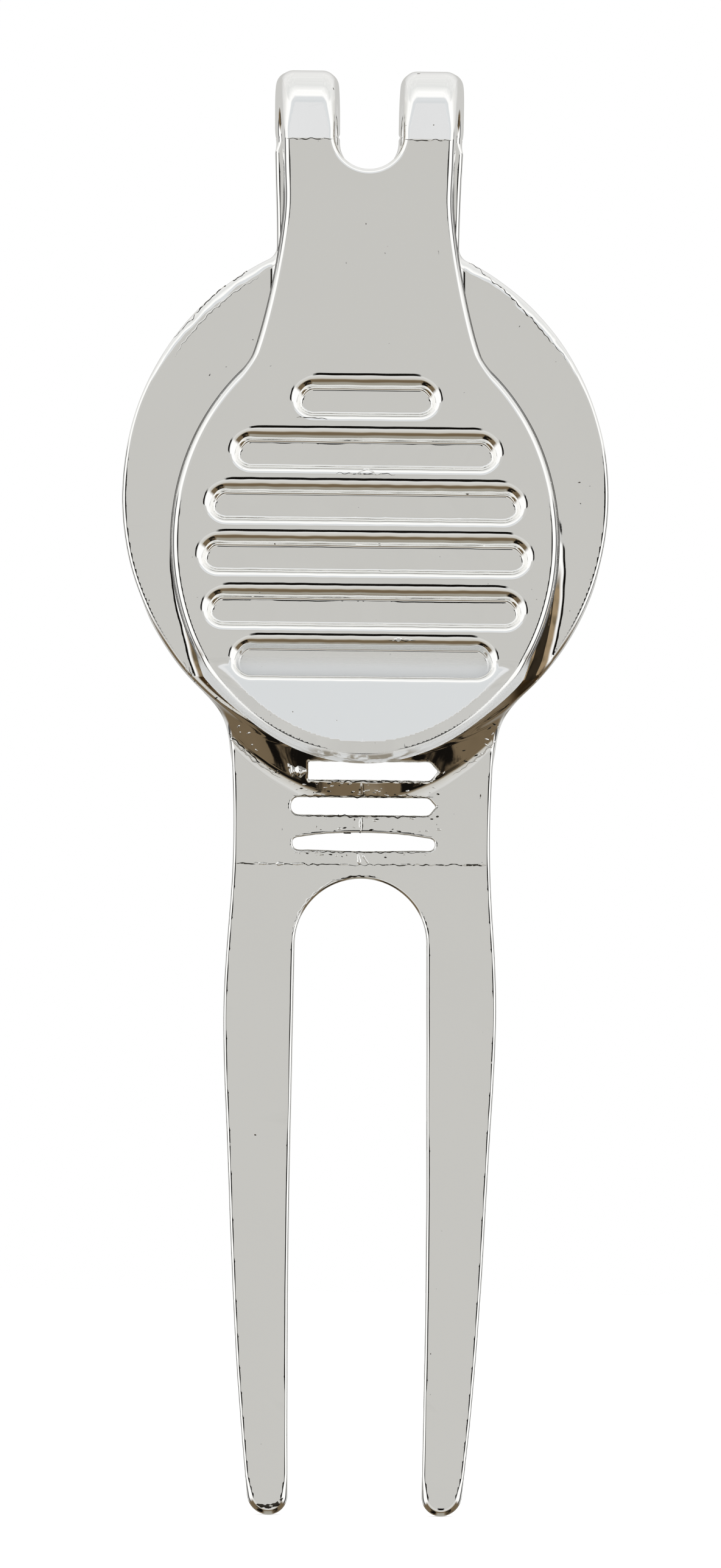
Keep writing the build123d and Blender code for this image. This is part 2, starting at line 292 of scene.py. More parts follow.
# ---------------------------------------------------------------- fork body
def fork_field(x, y, z, capped=True):
    """The fork with its plate. Its strap ends inside the clip's root, or runs on if not capped."""
    side = np.abs(x)
    ripple = 0.02 * wobble(x, z, 5.0, 1)
    neck = np.maximum(side - FLANK(z), z - (PLATE_Z - 8))
    arch = np.where(z > ARCH_Z, np.hypot(side, z - ARCH_Z) - ARCH_R, side - GAP(z))
    fork = meet(np.maximum(neck, -arch) + 0.5 * ripple, TIP_Z - z, TIP_R)
    past = np.maximum(THINNING_Z - z, 0)
    front = FACE_Y - 0.0715 * past**2 / (past + 6)
    tip = ramp(TIP_Z + 2.5 - z, 0, 2)
    fork = meet(fork, NECK_BACK_Y - y, 0.18 + 0.3 * tip)
    fork = meet(fork, y - front, EDGE_R)

    plate_line = ellipse(x, z - PLATE_Z, *PLATE_HALF) + ripple
    upper = ramp(z, PLATE_Z + 5.0, PLATE_Z + 11.0)
    rough = upper * (0.2 + 0.16 * wobble(x, z, 1.6, 2) + 0.06 * wobble(x, z, 0.7, 3))
    plate = meet(plate_line, PLATE_BACK_Y - y, 0.22 + 0.2 * upper + rough)
    plate = meet(plate, y - FACE_Y, 0.3)

    inset = 0.04 * ramp(z, ROOT_Z, ROOT_Z + 0.08) if capped else 0.0
    near = ramp(z, -2.5, -1.65)
    strap = (side - STRAP(z) + ripple) * (1 - near) + arm_outline(x, y, z) * near
    strap = meet(strap, y - STRAP_FACE_Y, EDGE_R)
    strap = meet(strap, PLATE_BACK_Y - y, 0.25) + inset
    strap = np.maximum(strap, PLATE_Z + 8 - z)
    if capped:
        strap = np.maximum(strap, z - ROOT_Z - 0.3)

    boss = meet(raised_oval(x, y, z), np.minimum(plate_line, neck) + 0.06, 0.15)
    body = join(plate, fork, 0.25)
    body = join(body, boss, 0.35)
    body = join(body, strap, 0.45)
    body = np.maximum(body, y - FACE_Y)

    seat = np.maximum(np.hypot(x, z - PLATE_Z) - SEAT_R, SEAT_Y - y)
    pocket = np.maximum(np.hypot(x, z - PLATE_Z) - POCKET_R, POCKET_Y - y)
    scoop = np.hypot(x, z - (PLATE_Z - SEAT_R)) - SCOOP_R
    scoop = np.maximum(scoop, FACE_Y - SCOOP_DEPTH - y)
    body = cut(body, seat, 0.12)
    body = cut(body, pocket, 0.08)
    body = cut(body, scoop, 0.3)
    body = cut(body, slots(x, z) - 0.035 * (y - NECK_BACK_Y), 0.14)
    return cut(body, notch(x, y, z) - inset, EDGE_R)


# ---------------------------------------------------------------- belt clip
# the thumb grooves: height above the plate's middle, and half the length
GROOVES = [
    (5.54, 4.2),
    (2.5, 7.72),
    (-0.48, 9.12),
    (-3.45, 9.55),
    (-6.51, 9.2),
    (-9.38, 7.6),
]


def unbend(y, z):
    """Coordinates in which the flared tip of the pad is straight."""
    centre = ARM_OUTER_Y - FLARE_R
    angle = np.arctan2(FLARE_Z - z, y - centre)
    along = np.hypot(y - centre, z - FLARE_Z)
    c, s = math.cos(FLARE_ANGLE), math.sin(FLARE_ANGLE)
    past_y = centre + (y - centre) * c + (FLARE_Z - z) * s
    past_z = FLARE_Z - FLARE_R * FLARE_ANGLE + (y - centre) * s - (FLARE_Z - z) * c
    flat_y = np.where(angle > FLARE_ANGLE, past_y, centre + along)
    flat_z = np.where(angle > FLARE_ANGLE, past_z, FLARE_Z - FLARE_R * angle)
    straight = (z > FLARE_Z) | (y < centre + 0.5)
    return np.where(straight, y, flat_y), np.where(straight, z, flat_z)


def clip_field(x, y, z, capped=True):
    """The clip, from the bend down. It ends at its root, or runs on if not capped."""
    fy, fz = unbend(y, z)
    deep = fy - ARM_OUTER_Y
    rim = ellipse(x, fz - PAD_Z, *PAD_HALF)
    arm = np.maximum(arm_outline(x, fy, fz), -16.0 - fz)
    flash = 0.06 * ramp(deep, 1.75, 2.0) * ramp(-z, 3.0, 5.0)
    taper = 0.055 - 0.23 * ramp(FLARE_Z - fz, 0.0, 3.5)
    pad = rim - taper * deep + 0.015 * wobble(x, fz, 6.0, 11)
    outline = join(arm, pad, 0.35) - flash

    bevel = np.maximum(rim + 0.95, 0) * 0.29 * ramp(FLARE_Z - fz, 0.0, 2.5)
    front = ARM_OUTER_Y - fy + 0.5 * (bevel + np.sqrt(bevel**2 + 0.0001) - 0.01)
    facet = -EAR_FACET[0] * (y - ARM_OUTER_Y) + EAR_FACET[1] * (z - CREASE_Z)
    outer = np.where(z > CREASE_Z - 1.0, np.maximum(front, facet), front)
    corner = meet(outer, z - BEND_TOP_Z, CORNER_R)
    corner = meet(corner, y - STRAP_FACE_Y, CORNER_R)
    crook = BEND_R - np.hypot(y, z + BEND_R)
    inner = np.where((y > 0) & (z > -2 * BEND_R), BEND_R - y, fy - ARM_INNER_Y)
    inner = np.where(z > -BEND_R, crook, inner)

    r = EDGE_R + 0.45 * ramp(z, -1.4, 1.0)
    clip = meet(corner, outline, r)
    clip = meet(clip, inner, 0.25)
    if capped:
        clip = np.maximum(clip, np.minimum(y, ROOT_Z + 0.02 - z))

    for height, half in GROOVES:
        above = fz - (PLATE_Z + height)
        upper = ramp(above, 0.2, 0.9) * ramp(half - 1.0 - np.abs(x), -0.4, 0.6)
        well = stadium(x, above, half - 1.17, GROOVE_R)
        lean = 0.2 + 0.5 * ramp(above, -0.6, 0.5)
        well = (well + lean * deep) * 0.92 + 0.012 * wobble(x, fz, 1.2, height)
        floor = deep - GROOVE_DEPTH - 0.02 * wobble(x, fz, 4.0, 3 + height)
        well = meet(well, floor, 0.1)
        clip = cut(clip, well, 0.36 + 0.12 * upper)
    return cut(clip, notch(x, y, z), r)


# ---------------------------------------------------------------- meshing
def surface_net(value):
    """Vertices in grid units and quads of the zero surface of a field sampled on a grid."""
    inside = value < 0
    shape = np.array(value.shape)
    count = np.zeros(tuple(shape - 1), np.uint8)
    for i in (0, 1):
        for j in (0, 1):
            for k in (0, 1):
                count += inside[i : shape[0] - 1 + i, j : shape[1] - 1 + j, k : shape[2] - 1 + k]
    mixed = (count > 0) & (count < 8)
    number = -np.ones(mixed.shape, np.int32)
    cells = np.argwhere(mixed)
    number[mixed] = np.arange(len(cells))
    place = np.zeros((len(cells), 3))
    hits = np.zeros(len(cells))
    for axis in range(3):
        others = [a for a in range(3) if a != axis]
        for u in (0, 1):
            for v in (0, 1):
                start = [0, 0, 0]
                start[others[0]], start[others[1]] = u, v
                end = list(start)
                end[axis] = 1
                a = value[tuple((cells + start).T)]
                b = value[tuple((cells + end).T)]
                crossed = (a < 0) != (b < 0)
                point = np.tile(np.array(start, float), (len(cells), 1))
                point[:, axis] = np.where(crossed, a / np.where(crossed, a - b, 1), 0)
                place += np.where(crossed[:, None], point, 0)
                hits += crossed
    quads = []
    for axis in range(3):
        b, c = [a for a in range(3) if a != axis]
        low = [slice(None)] * 3
        high = [slice(None)] * 3
        low[axis], high[axis] = slice(0, -1), slice(1, None)
        edges = np.argwhere(inside[tuple(low)] != inside[tuple(high)])
        keep = (edges[:, b] > 0) & (edges[:, c] > 0)
        keep &= (edges[:, b] < mixed.shape[b]) & (edges[:, c] < mixed.shape[c])
        edges = edges[keep]
        corners = []
        for db, dc in ((1, 1), (0, 1), (0, 0), (1, 0)):
            cell = edges.copy()
            cell[:, b] -= db
            cell[:, c] -= dc
            corners.append(number[tuple(cell.T)])
        quad = np.stack(corners, 1)
        turned = inside[tuple(edges.T)] != (axis == 1)
        quads.append(np.where(turned[:, None], quad, quad[:, ::-1]))
    return place / hits[:, None] + cells, np.concatenate(quads)


def slopes(field, p, h=0.004):
    """The field and its gradient at points."""
    value = field(*p.T)
    grads = []
    for axis in range(3):
        step = np.zeros(3)
        step[axis] = h
        grads.append((field(*(p + step).T) - value) / h)
    return value, np.stack(grads, 1)


def depth_at(field, x, z):
    """The Y of the field's surface behind each point, seen from the clip's side, or NaN."""
    y = np.arange(-6.0, 6.0, 0.02)
    value = field(x[:, None], y[None, :], z[:, None])
    first = (value < 0).argmax(1)
    rows = np.arange(len(x))
    before, after = value[rows, first - 1], value[rows, first]
    depth = y[first] - 0.02 * after / np.where(first > 0, after - before, 1)
    return np.where(first > 0, depth, np.nan)


def casting(name, field, low, high, step, shade=None, flat_areas=True):
    """An object meshed from a field's surface, with vertices and normals that follow the field.

    The normals are those of the shade field, where one is given.
    """
    step = np.array(step) * np.ones(3)
    low = np.array(low) - 2 * step
    high = np.array(high) + 2 * step
    x, y, z = (np.arange(a, b, s) for a, b, s in zip(low, high, step))
    grid = [x[:, None, None], y[None, :, None], z[None, None, :]]
    value = np.broadcast_to(field(*grid), (len(x), len(y), len(z)))
    points, quads = surface_net(value)
    points = points * step + low
    for _ in range(2):
        v, g = slopes(field, points)
        move = v[:, None] * g / np.maximum((g * g).sum(1), 0.05)[:, None]
        length = np.linalg.norm(move, axis=1)[:, None]
        points = points - move * np.minimum(1, 0.4 * step.min() / np.maximum(length, 1e-9))
    mesh = bpy.data.meshes.new(name)
    mesh.from_pydata((points * MM).tolist(), [], quads.tolist())
    obj = bpy.data.objects.new(name, mesh)
    bpy.context.scene.collection.objects.link(obj)
    if flat_areas:
        flatten(mesh)
    mesh.validate()
    mesh.shade_smooth()
    co = np.zeros(len(mesh.vertices) * 3)
    mesh.vertices.foreach_get("co", co)
    points = co.reshape(-1, 3) / MM
    shade = shade or field
    g = slopes(shade, points)[1] + slopes(shade, points, -0.004)[1]
    normals = g / np.maximum(np.linalg.norm(g, axis=1), 1e-9)[:, None]
    mesh.normals_split_custom_set_from_vertices(normals.tolist())
    return obj


def flatten(mesh):
    """Merges the faces of the truly flat areas, a tile at a time, and leaves the rounded ones.

    The tiles are 2 mm cubes, told apart by a material index that lasts only this long.
    """
    bm = bmesh.new()
    bm.from_mesh(mesh)
    for face in bm.faces:
        middle = face.calc_center_median() / (2 * MM)
        face.material_index = math.floor(middle.z) % 5 * 3 + math.floor(middle.x) % 3
    bmesh.ops.dissolve_limit(
        bm, angle_limit=math.radians(0.15), verts=bm.verts, edges=bm.edges, delimit={"MATERIAL"}
    )
    bmesh.ops.triangulate(bm, faces=bm.faces, ngon_method="EAR_CLIP")
    for face in bm.faces:
        face.material_index = 0
        face.smooth = True
    bm.to_mesh(mesh)
    bm.free()


def uncapped(field):
    """The same casting without its cut end, so that the shading runs on across the joint."""
    return lambda x, y, z: field(x, y, z, capped=False)


step = 0.12
low, high = (-14.1, 0.2, TIP_Z), (14.1, FACE_Y, ROOT_Z + 0.3)
fork = casting("fork_casting", fork_field, low, high, step, shade=uncapped(fork_field))
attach(fork, "body")
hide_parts("fork_body")

step = 0.1
low, high = (-11.4, -5.6, -38.2), (11.4, 3.9, 2.3)
clip = casting("clip_casting", clip_field, low, high, step, shade=uncapped(clip_field))
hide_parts("belt_clip")
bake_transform(clip)

# ---------------------------------------------------------------- magnet, glue and ball marker
MAGNET_R = 5.0
GLUE = 0.1
COIN_R = 12.66
COIN_BACK_Y = SEAT_Y + 0.02
COIN_FACE_Y = COIN_BACK_Y + 1.5
FIELD_R = 11.6
FIELD_Y = COIN_FACE_Y - 0.34
CELL_Y = FIELD_Y - 0.25
DOME_R = 11.55
# the marker's drawing: half the width of its raised lines, the pennant, and the green's top
LINE = 0.35
FLAG = ((-1.6, 7.6), (6.2, 5.2), (-1.6, 2.8))
GREEN_TOP = -3.4


def radius(x, z):
    """The distance from the middle of the plate."""
    return np.hypot(x, z - PLATE_Z)


def magnet_field(x, y, z):
    """The disc magnet, on its glue in the pocket."""
    body = np.maximum(POCKET_Y + GLUE - y, y - (SEAT_Y - 0.02))
    return meet(radius(x, z) - MAGNET_R, body, 0.22)


def glue_field(x, y, z):
    """The film of glue on the pocket's floor."""
    film = np.maximum(POCKET_Y - y, y - (POCKET_Y + GLUE))
    return meet(radius(x, z) - (MAGNET_R - 0.03), film, 0.04)


def triangle(x, z, grow):
    """The pennant's outline, grown by some amount. x runs to the right as the marker is seen."""
    u = -x
    v = z - PLATE_Z
    lines = []
    for a, b in zip(FLAG, FLAG[1:] + FLAG[:1]):
        dx, dz = b[0] - a[0], b[1] - a[1]
        length = math.hypot(dx, dz)
        lines.append(((u - a[0]) * -dz + (v - a[1]) * dx) / length)
    inside = np.maximum(np.maximum(lines[0], lines[1]), lines[2])
    return inside - grow


def sky_shape(x, z):
    """The white cells, on both sides of the pole."""
    pole = np.abs(-x - (FLAG[0][0] - LINE)) - LINE
    ground = GREEN_TOP - (z - PLATE_Z)
    shape = np.maximum(radius(x, z) - (FIELD_R - LINE), ground)
    return np.maximum(shape, -np.minimum(pole, triangle(x, z, LINE)))


def green_shape(x, z):
    """The green, less the hole that the pole stands in."""
    hole = ellipse(-x - (FLAG[0][0] - LINE), z - (PLATE_Z + GREEN_TOP - 3), 1.6, 0.7)
    ground = (z - PLATE_Z) - (GREEN_TOP - LINE)
    return np.maximum(np.maximum(radius(x, z) - (FIELD_R - LINE), ground), -hole)


def flag_shape(x, z):
    """The pennant."""
    return triangle(x, z, 0)


def coin_field(x, y, z):
    """The marker's coin: a reeded edge, a rim, a sunk face and the cells for the enamel."""
    slab = np.maximum(COIN_BACK_Y - y, y - COIN_FACE_Y)
    reeds = 0.03 * np.cos(np.arctan2(z - PLATE_Z, x) * 150)
    coin = meet(radius(x, z) - COIN_R + reeds * ramp(radius(x, z), 12.3, 12.6), slab, 0.16)
    coin = cut(coin, np.maximum(radius(x, z) - FIELD_R, FIELD_Y - y), 0.1)
    cells = np.minimum(np.minimum(sky_shape(x, z), green_shape(x, z)), flag_shape(x, z))
    return cut(coin, np.maximum(cells, CELL_Y - y), 0.05)


def enamel(shape):
    """A fill of enamel that draws up against the raised lines round it."""

    def field(x, y, z):
        edge = shape(x, z)
        top = FIELD_Y - 0.07 + 0.05 * np.exp(np.minimum(edge, 0) / 0.35)
        return meet(edge, np.maximum(CELL_Y + 0.01 - y, y - top), 0.02)

    return field


def dome_field(x, y, z):
    """The clear dome over the enamel, highest in the middle."""
    r = radius(x, z)
    top = FIELD_Y + 0.1 + 0.28 * (1 - (r / DOME_R) ** 2)
    return meet(r - DOME_R, np.maximum(FIELD_Y + 0.005 - y, y - top), 0.09)


step = np.array((0.14, 0.03, 0.14))
low, high = (-5.1, 2, PLATE_Z - 5.1), (5.1, 3.8, PLATE_Z + 5.1)
magnet = casting("disc_magnet", magnet_field, low, high, step)
glue = casting("glue_film", glue_field, low, high, step)
low, high = (-12.8, 3.6, PLATE_Z - 12.8), (12.8, 5.4, PLATE_Z + 12.8)
coin = casting("coin_blank", coin_field, low, high, step)
sky = casting("enamel_sky_fill", enamel(sky_shape), low, high, step, flat_areas=False)
green = casting("enamel_green_fill", enamel(green_shape), low, high, step, flat_areas=False)
flag = casting("enamel_flag_fill", enamel(flag_shape), low, high, step, flat_areas=False)
dome = casting("epoxy_dome", dome_field, low, high, 1.3 * step, flat_areas=False)
for piece, node, slot, body in (
    (magnet, "magnet", "magnet_nickel", "body"),
    (glue, "magnet_adhesive", "glue", "body"),
    (coin, "marker_coin", "coin_plating", "marker"),
    (sky, "enamel_sky", "enamel_white", "marker"),
    (green, "enamel_green", "enamel_green", "marker"),
    (flag, "enamel_flag", "enamel_red", "marker"),
    (dome, "marker_dome", "dome_epoxy", "marker"),
):
    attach(piece, body)
    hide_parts(node)


# ---------------------------------------------------------------- flash left by the moulds
RING = 10


def bead(field, path, size, seed):
    """One run's unbroken stretches, each as x, y, z, headings and radii of its points.

    A run breaks off where it would miss the metal or drop over an edge.
    """
    rng = random.Random(seed)
    path = np.array(path, float)
    ends = np.linalg.norm(np.diff(path, axis=0), axis=1)
    total = ends.sum()
    count = max(5, int(total / 0.07))
    at = np.linspace(0, total, count)
    stops = np.concatenate([[0], np.cumsum(ends)])
    x = np.interp(at, stops, path[:, 0])
    z = np.interp(at, stops, path[:, 1])
    phase = [rng.uniform(0, 6.3) for _ in range(6)]
    shake = sum(np.sin(at * (2.1 * k + 3) + phase[k]) for k in range(6)) / 6
    heading = np.stack([np.gradient(x), np.gradient(z)], 1)
    heading /= np.maximum(np.linalg.norm(heading, axis=1), 1e-9)[:, None]
    x = x - heading[:, 1] * shake * min(0.09, total * 0.03)
    z = z + heading[:, 0] * shake * min(0.09, total * 0.03)
    y = depth_at(field, x, z)
    swell = sum(np.sin(at * (3.7 * k + 2) + phase[-k]) for k in range(1, 6)) / 5
    r = size * (1 + 0.55 * swell) * np.sqrt(np.sin(np.linspace(0.02, math.pi - 0.02, count)))
    step = np.abs(np.diff(y, prepend=y[0]))
    broken = np.isnan(y) | np.isnan(step) | (step > 0.12)
    for stretch in np.split(np.arange(count), np.flatnonzero(broken)):
        stretch = stretch[~broken[stretch]]
        if len(stretch) > 2:
            yield x[stretch], y[stretch], z[stretch], heading[stretch], r[stretch]


def beads(name, field, runs):
    """Thin proud lines of metal. Each run is a path of (x, z) points, a radius and a seed."""
    verts = []
    faces = []
    turns = np.arange(RING) * 2 * math.pi / RING
    for x, y, z, heading, r in (part for run in runs for part in bead(field, *run)):
        first = len(verts)
        out = r[:, None] * np.cos(turns)
        ring = np.stack(
            [
                x[:, None] - heading[:, 1:] * out,
                y[:, None] + 0.25 * r[:, None] + 0.75 * r[:, None] * np.sin(turns),
                z[:, None] + heading[:, :1] * out,
            ],
            2,
        )
        verts += (ring.reshape(-1, 3) * MM).tolist()
        for i in range(len(x) - 1):
            for k in range(RING):
                a, b = first + RING * i + k, first + RING * i + (k + 1) % RING
                faces.append((a, b, b + RING, a + RING))
        faces.append(tuple(first + k for k in range(RING - 1, -1, -1)))
        faces.append(tuple(first + RING * (len(x) - 1) + k for k in range(RING)))
    mesh = bpy.data.meshes.new(name)
    mesh.from_pydata(verts, [], faces)
    mesh.shade_smooth()
    obj = bpy.data.objects.new(name, mesh)
    bpy.context.scene.collection.objects.link(obj)
    return obj


def arc(start, end, half_width, half_height, middle_z):
    """Points along an ellipse about the tool's centre line, between two angles in degrees."""
    turns = np.radians(np.linspace(start, end, 40))
    return [(half_width * math.cos(t), middle_z + half_height * math.sin(t)) for t in turns]


FOOT_Z = PLATE_Z - 3.8
FOOT_HALF = (11.45, 13.65)
bright_runs = [
    # beads on the parting line
    ([(-5.95, PARTING_Z), (-5.35, PARTING_Z)], 0.1, 4),
    ([(-4.95, PARTING_Z), (-4.45, PARTING_Z)], 0.11, 5),
    ([(-4.1, PARTING_Z), (-3.3, PARTING_Z)], 0.08, 6),
    ([(-1.3, PARTING_Z), (-0.7, PARTING_Z)], 0.06, 7),
    ([(2.2, PARTING_Z + 0.02), (3.0, PARTING_Z + 0.02)], 0.05, 8),
    # ridges down the bars between the slots
    ([(-0.06, -38.66), (-0.04, -39.42)], 0.09, 9),
    ([(-0.08, -40.64), (-0.06, -41.5)], 0.1, 10),
    ([(-0.2, -42.72), (-0.1, -43.4)], 0.12, 11),
    ([(0.02, -42.76), (0.42, -43.36)], 0.07, 12),
    # lumps at the first slot's blunt end
    ([(-4.25, -37.95), (-3.2, -38.0)], 0.42, 13),
    ([(-4.3, -37.6), (-3.5, -38.4)], 0.2, 14),
    # along the plate's edge, the arch and the foot of the raised oval
    (arc(118, 146, 13.35, 14.25, PLATE_Z), 0.05, 15),
    (arc(98, 172, 3.98, 3.98, ARCH_Z), 0.05, 18),
    (arc(205, 246, *FOOT_HALF, FOOT_Z), 0.06, 25),
    (arc(297, 335, *FOOT_HALF, FOOT_Z), 0.05, 26),
]
LEFT_EDGE = [
    (-5.5, -8.4),
    (-6.5, -8.9),
    (-7.4, -9.65),
    (-8.3, -10.2),
    (-9.1, -10.95),
    (-11.1, -13.2),
]
RIGHT_EDGE = [(5.4, -8.4), (6.4, -9.0), (6.6, -9.3), (7.7, -10.1), (9.1, -11.5), (11.5, -14.2)]
# painted shade and dark reflection: thin dark lines along the parting line, edges, lips and the
# oval's foot
dark_runs = [
    # the parting line
    ([(-7.3, PARTING_Z), (-6.1, PARTING_Z - 0.02)], 0.045, 1),
    ([(-6.3, PARTING_Z), (0.0, PARTING_Z - 0.02)], 0.034, 2),
    ([(-0.2, PARTING_Z - 0.02), (7.2, PARTING_Z + 0.05)], 0.036, 27),
    ([(5.7, PARTING_Z + 0.03), (7.2, PARTING_Z + 0.05)], 0.065, 3),
    # beside the ridges
    ([(0.06, -38.7), (0.08, -39.4)], 0.03, 28),
    ([(0.05, -40.64), (0.06, -41.5)], 0.03, 29),
    # the plate's upper edge, on both sides of the strap, and the top of the arch
    (LEFT_EDGE, 0.035, 16),
    (RIGHT_EDGE, 0.03, 17),
    (arc(80, 112, 3.96, 3.96, ARCH_Z), 0.05, 19),
    # the slots' lips
    ([(-3.0, -38.6), (4.0, -38.6)], 0.04, 20),
    ([(-3.9, -39.46), (4.1, -39.44)], 0.055, 21),
    ([(-3.8, -40.62), (3.9, -40.6)], 0.045, 22),
    ([(-3.8, -41.9), (-0.2, -41.52), (3.9, -41.9)], 0.05, 23),
    ([(-3.6, -42.68), (3.8, -42.66)], 0.03, 24),
    # the foot of the raised oval, and the end of one tine
    (arc(207, 245, 11.3, 13.5, FOOT_Z), 0.05, 30),
    ([(-5.65, -80.3), (-5.1, -80.42), (-4.5, -80.3), (-4.1, -79.9)], 0.13, 31),
]

# specks scattered along the slots' lips, then along the foot of the raised oval
LIP_ZS = [-38.75, -39.1, -39.35, -39.25, -40.7, -41.35, -42.8]
rng = random.Random(8)
for seed in range(90):
    x = rng.uniform(-4.4, 4.4)
    z = rng.choice(LIP_ZS) + rng.uniform(-0.14, 0.14)
    length = rng.uniform(0.06, 0.3)
    run = ([(x, z), (x + length, z + rng.uniform(-0.06, 0.06))], rng.uniform(0.02, 0.07), seed)
    rng.choice([bright_runs, dark_runs]).append(run)
for seed in range(40):
    turn = math.radians(rng.choice([rng.uniform(208, 250), rng.uniform(292, 332)]))
    spread = rng.uniform(0.93, 1.01)
    x = FOOT_HALF[0] * spread * math.cos(turn)
    z = FOOT_Z + FOOT_HALF[1] * spread * math.sin(turn)
    run = ([(x, z), (x + rng.uniform(0.08, 0.3), z + rng.uniform(-0.2, 0.2))], 0.05, seed)
    rng.choice([bright_runs, dark_runs]).append(run)
body_flash = beads("body_flash", fork_field, bright_runs)
body_shade_lines = beads("body_shade_lines", fork_field, dark_runs)

# nicks at two of the grooves, and the crease where the ears' facets start
bright_runs = [
    ([(-0.5, -20.93), (0.1, -20.72), (0.6, -20.93)], 0.07, 1),
    ([(1.7, -30.42), (2.2, -30.4)], 0.11, 3),
    ([(2.3, -30.43), (2.8, -30.45)], 0.07, 4),
]
# painted shade and dark reflection: thin dark lines by the grooves' lips and along the crease
dark_runs = [
    ([(-1.7, -20.97), (1.7, -20.99)], 0.03, 2),
    ([(-4.0, -17.75), (-2.2, -17.85)], 0.03, 5),
    ([(1.4, -30.5), (3.0, -30.5)], 0.03, 6),
    ([(-4.75, CREASE_Z), (-2.05, CREASE_Z + 0.01)], 0.03, 7),
    ([(2.0, CREASE_Z - 0.02), (4.7, CREASE_Z)], 0.03, 8),
]
clip_flash = beads("clip_flash", clip_field, bright_runs)
clip_shade_lines = beads("clip_shade_lines", clip_field, dark_runs)
for piece, body in (
    (body_flash, "body"),
    (body_shade_lines, "body"),
    (clip_flash, "clip"),
    (clip_shade_lines, "clip"),
):
    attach(piece, body)


# ---------------------------------------------------------------- materials
class Nodes:
    """Short ways to add and link shader nodes. A value can be a number, a colour or a socket."""

    def __init__(self, tree):
        self.tree = tree

    def feed(self, socket, value):
        """Links or sets one input."""
        if isinstance(value, bpy.types.NodeSocket):
            self.tree.links.new(value, socket)
        else:
            socket.default_value = value

    def add(self, kind, *values, **named):
        """A node with values for its first inputs in order, and for others by name."""
        node = self.tree.nodes.new(kind)
        for index, value in enumerate(values):
            self.feed(node.inputs[index], value)
        for name, value in named.items():
            self.feed(node.inputs[name.replace("_", " ")], value)
        return node

    def math(self, operation, *values):
        node = self.add("ShaderNodeMath", *values)
        node.operation = operation
        return node.outputs[0]

    def product(self, first, *others):
        for other in others:
            first = self.math("MULTIPLY", first, other)
        return first

    def band(self, value, low, high):
        """0 at low and 1 at high, smooth between and level beyond them."""
        node = self.add("ShaderNodeMapRange", Value=value, From_Min=low, From_Max=high)
        node.interpolation_type = "SMOOTHSTEP"
        return node.outputs[0]

    def mix(self, factor, a, b):
        node = self.tree.nodes.new("ShaderNodeMix")
        node.data_type = "RGBA"
        for index, value in ((0, factor), (6, a), (7, b)):
            self.feed(node.inputs[index], value)
        return node.outputs[2]

    def noise(self, where, scale, detail=2.0, rough=0.5):
        node = self.add(
            "ShaderNodeTexNoise", Vector=where, Scale=scale, Detail=detail, Roughness=rough
        )
        return node.outputs[0]

    def bump(self, height, distance):
        return self.add("ShaderNodeBump", Height=height, Distance=distance, Strength=1.0).outputs[0]

    def ramp(self, value, stops):
        """Colours between stops, each a position and a colour."""
        node = self.add("ShaderNodeValToRGB", value)
        elements = node.color_ramp.elements
        while len(elements) > 1:
            elements.remove(elements[-1])
        elements[0].position = stops[0][0]
        elements[0].color = (*stops[0][1], 1)
        for position, color in stops[1:]:
            element = elements.new(position)
            element.color = (*color, 1)
        return node.outputs[0]


def material(name, color, metallic, roughness):
    """A new material, its Nodes, its shader's inputs and the place on the piece."""
    made = bpy.data.materials.new(name)
    made.use_nodes = True
    nodes = Nodes(made.node_tree)
    shader = made.node_tree.nodes["Principled BSDF"].inputs
    shader["Base Color"].default_value = (*color, 1)
    shader["Metallic"].default_value = metallic
    shader["Roughness"].default_value = roughness
    where = nodes.add("ShaderNodeTexCoord").outputs["Object"]
    return made, nodes, shader, where


def clip_painted_reflections(nodes, where, tint):
    """Painted dark reflection on the arm's inner edge; satin and a painted reflection on the wall
    of the pad's tip: tint and satin.
    """
    across, back, up = nodes.add("ShaderNodeSeparateXYZ", where).outputs
    # painted dark reflection: the arm's inner edge, towards the plate, goes near black
    arm = nodes.band(up, -3 * MM, -5 * MM)
    edge = nodes.band(back, (ARM_INNER_Y - 0.5) * MM, (ARM_INNER_Y - 0.35) * MM)
    tint = nodes.mix(nodes.product(edge, arm), tint, (0.03, 0.025, 0.02, 1))
    flare = nodes.math("MULTIPLY", up, -math.tan(FLARE_ANGLE))
    start = (ARM_OUTER_Y - FLARE_Z * math.tan(FLARE_ANGLE)) * MM
    wall = nodes.band(nodes.math("ADD", back, flare), start + 0.25 * MM, start + 0.4 * MM)
    satin = nodes.product(wall, nodes.band(up, -31 * MM, -32.5 * MM))
    # painted reflection on the wall of the pad's tip: grey, with dark brown patches in its middle
    middle = nodes.band(nodes.math("ABSOLUTE", across), 4.2 * MM, 2.2 * MM)
    ragged = nodes.band(nodes.noise(where, 1300.0, 3.0), 0.42, 0.56)
    dark_reflection_patches = nodes.product(middle, nodes.band(up, -36.5 * MM, -37 * MM), ragged)
    wall = nodes.mix(dark_reflection_patches, (0.7, 0.71, 0.71, 1), (0.3, 0.27, 0.22, 1))
    return nodes.mix(satin, tint, wall), satin


